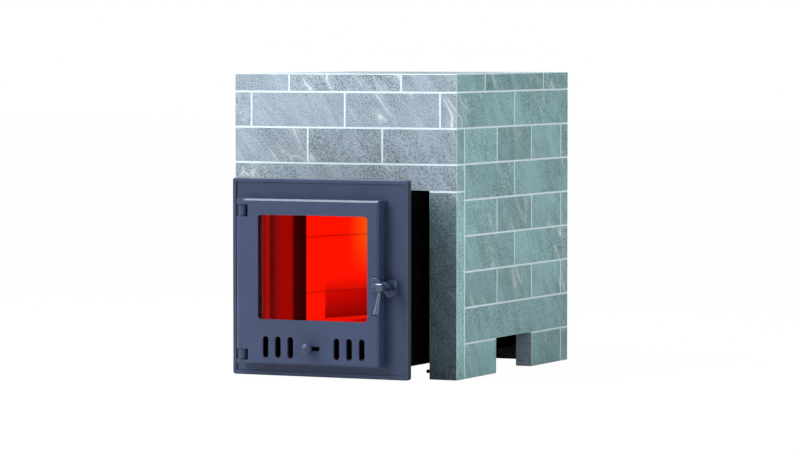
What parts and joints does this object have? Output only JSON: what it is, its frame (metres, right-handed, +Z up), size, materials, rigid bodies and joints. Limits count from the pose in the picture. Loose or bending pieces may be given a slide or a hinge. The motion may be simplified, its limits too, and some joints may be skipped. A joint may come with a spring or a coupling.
{
  "type": "sauna stove",
  "caption": "Wood-fired sauna stove: a mortared casing of soapstone slabs round a steel firebox, with a cast front plate, a glazed hinged door, a lid and a flue socket.",
  "frame": {"origin": "middle of the whole object's footprint, on the floor it stands on", "axes": "+X to the right seen from the door, -Y out through the door, +Y to the rear, +Z up"},
  "size_m": [0.69, 1.0596, 0.848],
  "materials": {
    "soapstone": "honed, with white veins and fine dark specks",
    "mortar": "trowelled pale joint",
    "cast_iron_painted": "heat-proof paint on a fine sand casting",
    "black_steel": "matte black heat-proof paint",
    "bright_steel": "turned and polished",
    "top_steel": "brushed sheet",
    "firebrick": null,
    "fire_glass": "clear ceramic glass",
    "glass_rope": "braided glass-fibre rope"
  },
  "bodies": {
    "casing": {"air_box": "black_steel", "ash_channel": "black_steel", "baffle": "firebrick", "chamber_flange": "black_steel", "fire_tunnel_front": "black_steel", "fire_tunnel_rear": "black_steel", "firebox_front": "black_steel", "firebox_shell": "black_steel", "flue_collar": "top_steel", "flue_pipe": "black_steel", "front_leg_left": "soapstone", "front_leg_right": "soapstone", "front_lintel": "soapstone", "front_plate": "cast_iron_painted", "front_slabs": "soapstone", "grate": "cast_iron_painted", "hearth_floor": "firebrick", "hinge_pin_lower": "bright_steel", "hinge_pin_upper": "bright_steel", "keeper_screw": "bright_steel", "latch_keeper": "cast_iron_painted", "left_wall_legs": "soapstone", "left_wall_lintel": "soapstone", "left_wall_slabs": "soapstone", "levelling_feet": "black_steel", "lid_hinge_pin": "top_steel", "lining_lower": "firebrick", "lining_middle": "firebrick", "lining_upper": "firebrick", "mortar_top": "mortar", "mortar_walls": "mortar", "plate_bolts": "black_steel", "rear_wall_slabs": "soapstone", "right_wall_legs": "soapstone", "right_wall_lintel": "soapstone", "right_wall_slabs": "soapstone", "steel_top": "top_steel", "stone_chamber": "black_steel", "top_corner_slabs": "soapstone", "top_middle_slabs": "soapstone", "tunnel_shroud": "black_steel"},
    "door": {"door_casting": "cast_iron_painted", "door_glass": "fire_glass", "glass_gasket": "glass_rope", "glass_clips": "black_steel", "clip_screws": "bright_steel", "door_seal": "glass_rope", "slider_rails": "black_steel", "latch_washer": "cast_iron_painted", "latch_bolt": "bright_steel"},
    "latch": {"latch_arm": "cast_iron_painted", "handle_hub": "bright_steel", "handle_grip": "bright_steel"},
    "air_slider": {"air_slider": "black_steel", "knob_stem": "bright_steel", "air_knob": "bright_steel"},
    "ash_pan": {"ash_pan": "black_steel", "ash_pan_handle": "black_steel"},
    "lid": {"lid": "top_steel", "lid_grip": "top_steel"}
  },
  "joints": [
    {"name": "door_hinge", "type": "hinge", "parent": "casing", "child": "door", "pos_m": [-0.226, -0.44615, 0.274], "axis": [0, 0, -1], "range_deg": [0, 110]},
    {"name": "latch_turn", "type": "hinge", "parent": "door", "child": "latch", "pos_m": [0.19, -0.47195, 0.271], "axis": [0, -1, 0], "range_deg": [-8, 45]},
    {"name": "air_slide", "type": "slide", "parent": "door", "child": "air_slider", "axis": [1, 0, 0], "range_m": [0, 0.0192]},
    {"name": "ash_pan_slide", "type": "slide", "parent": "casing", "child": "ash_pan", "axis": [0, -1, 0], "range_m": [0, 0.2]},
    {"name": "lid_hinge", "type": "hinge", "parent": "casing", "child": "lid", "pos_m": [0, 0.17035, 0.8425], "axis": [-1, 0, 0], "range_deg": [0, 95]}
  ]
}
